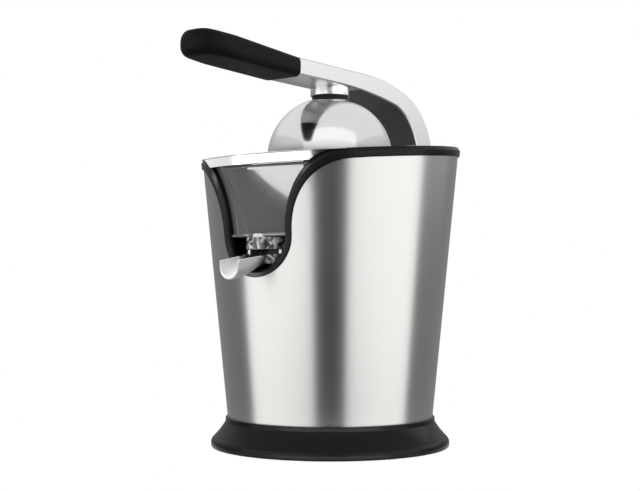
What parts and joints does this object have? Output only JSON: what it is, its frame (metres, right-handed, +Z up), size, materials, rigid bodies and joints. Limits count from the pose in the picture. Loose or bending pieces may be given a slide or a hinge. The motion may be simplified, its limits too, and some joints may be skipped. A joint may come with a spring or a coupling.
{
  "type": "electric lever citrus press",
  "caption": "Electric citrus press with a tapered steel body, black swooping trim, smoked collector, tip-up spout, lever arm and polished press dome over a ribbed reamer.",
  "frame": {"origin": "on the counter under the body axis, in the plane of the feet", "axes": "+Z up, -Y to the spout and the grip, +X to the right seen from the spout"},
  "size_m": [0.2018, 0.2887, 0.2986],
  "materials": {
    "body_steel": "fine brushed steel sheet",
    "polished_steel": "polished steel",
    "spout_metal": "satin metal",
    "arm_alloy": "satin cast alloy",
    "black_plastic": "satin black plastic",
    "grip_black": "soft matt black",
    "smoke_clear": "smoked clear plastic",
    "seal_rubber": "black rubber",
    "reamer_plastic": "satin plastic",
    "gear_nylon": "natural nylon",
    "plain_steel": "plain steel",
    "bush_bronze": "sintered bronze",
    "winding_copper": "enamelled copper wire"
  },
  "bodies": {
    "housing": {"base_ring": "black_plastic", "bottom_plate": "black_plastic", "rubber_feet": "seal_rubber", "frame_screws": "plain_steel", "steel_shell": "body_steel", "rim_trim": "black_plastic", "inner_tub": "black_plastic", "spout_recess": "black_plastic", "juice_collector": "smoke_clear", "strainer_bowl": "polished_steel", "hinge_spine": "black_plastic", "hinge_anchor": "plain_steel", "hinge_screws": "plain_steel", "hinge_pin": "plain_steel", "pin_caps": "black_plastic", "shaft_bush": "bush_bronze", "shaft_seal": "seal_rubber", "start_switch": "black_plastic", "gear_plate": "plain_steel", "gear_cover": "black_plastic", "gear_screws": "plain_steel", "idler_axle": "plain_steel", "output_bush": "bush_bronze", "motor_stator": "plain_steel", "motor_windings": "winding_copper", "motor_bracket": "plain_steel", "motor_spacers": "plain_steel", "motor_bolts": "plain_steel", "motor_bushes": "bush_bronze", "cord_gland": "seal_rubber"},
    "lever": {"lever_arm": "arm_alloy", "lever_grip": "grip_black", "dome_socket": "polished_steel", "hinge_bushes": "bush_bronze"},
    "dome": {"press_dome": "polished_steel", "dome_hub": "black_plastic", "dome_seal": "seal_rubber", "dome_screw": "plain_steel"},
    "rotor": {"motor_rotor": "plain_steel", "motor_pinion": "plain_steel", "cooling_fan": "gear_nylon"},
    "idler": {"idler_gear": "gear_nylon"},
    "output": {"output_gear": "gear_nylon", "hub_clip": "plain_steel", "return_spring": "plain_steel"},
    "shaft": {"drive_shaft": "plain_steel", "reamer": "reamer_plastic"},
    "plunger": {"switch_plunger": "gear_nylon"},
    "spout": {"pour_spout": "spout_metal"}
  },
  "joints": [
    {"name": "lever_hinge", "type": "hinge", "parent": "housing", "child": "lever", "pos_m": [0, 0.11499, 0.2215], "axis": [-1, 0, 0], "range_deg": [0, 82]},
    {"name": "dome_twist", "type": "hinge", "parent": "lever", "child": "dome", "pos_m": [0, 0, 0.26], "axis": [0, 0, 1], "range_deg": [0, 60]},
    {"name": "rotor_spin", "type": "hinge", "parent": "housing", "child": "rotor", "pos_m": [0, 0, 0.066], "axis": [0, 0, 1], "continuous": true},
    {"name": "idler_spin", "type": "hinge", "parent": "housing", "child": "idler", "pos_m": [0, 0.036, 0.11], "axis": [0, 0, 1], "continuous": true},
    {"name": "output_spin", "type": "hinge", "parent": "housing", "child": "output", "pos_m": [0, 0, 0.12], "axis": [0, 0, 1], "continuous": true},
    {"name": "press_start", "type": "slide", "parent": "output", "child": "shaft", "axis": [0, 0, 1], "range_m": [-0.0025, 0], "stiffness_N_per_m": 1500, "springref_m": 0.002, "deforming": ["return_spring"]},
    {"name": "switch_press", "type": "slide", "parent": "housing", "child": "plunger", "axis": [0, 0, 1], "range_m": [-0.0025, 0]},
    {"name": "spout_tip", "type": "hinge", "parent": "housing", "child": "spout", "pos_m": [0, -0.07601, 0.147], "axis": [-1, 0, 0], "range_deg": [0, 30]}
  ],
  "couplings": [
    {"joint": "idler_spin", "follows": "rotor_spin", "ratio": -0.25},
    {"joint": "output_spin", "follows": "rotor_spin", "ratio": 0.0625},
    {"joint": "switch_press", "follows": "press_start", "ratio": 1}
  ]
}
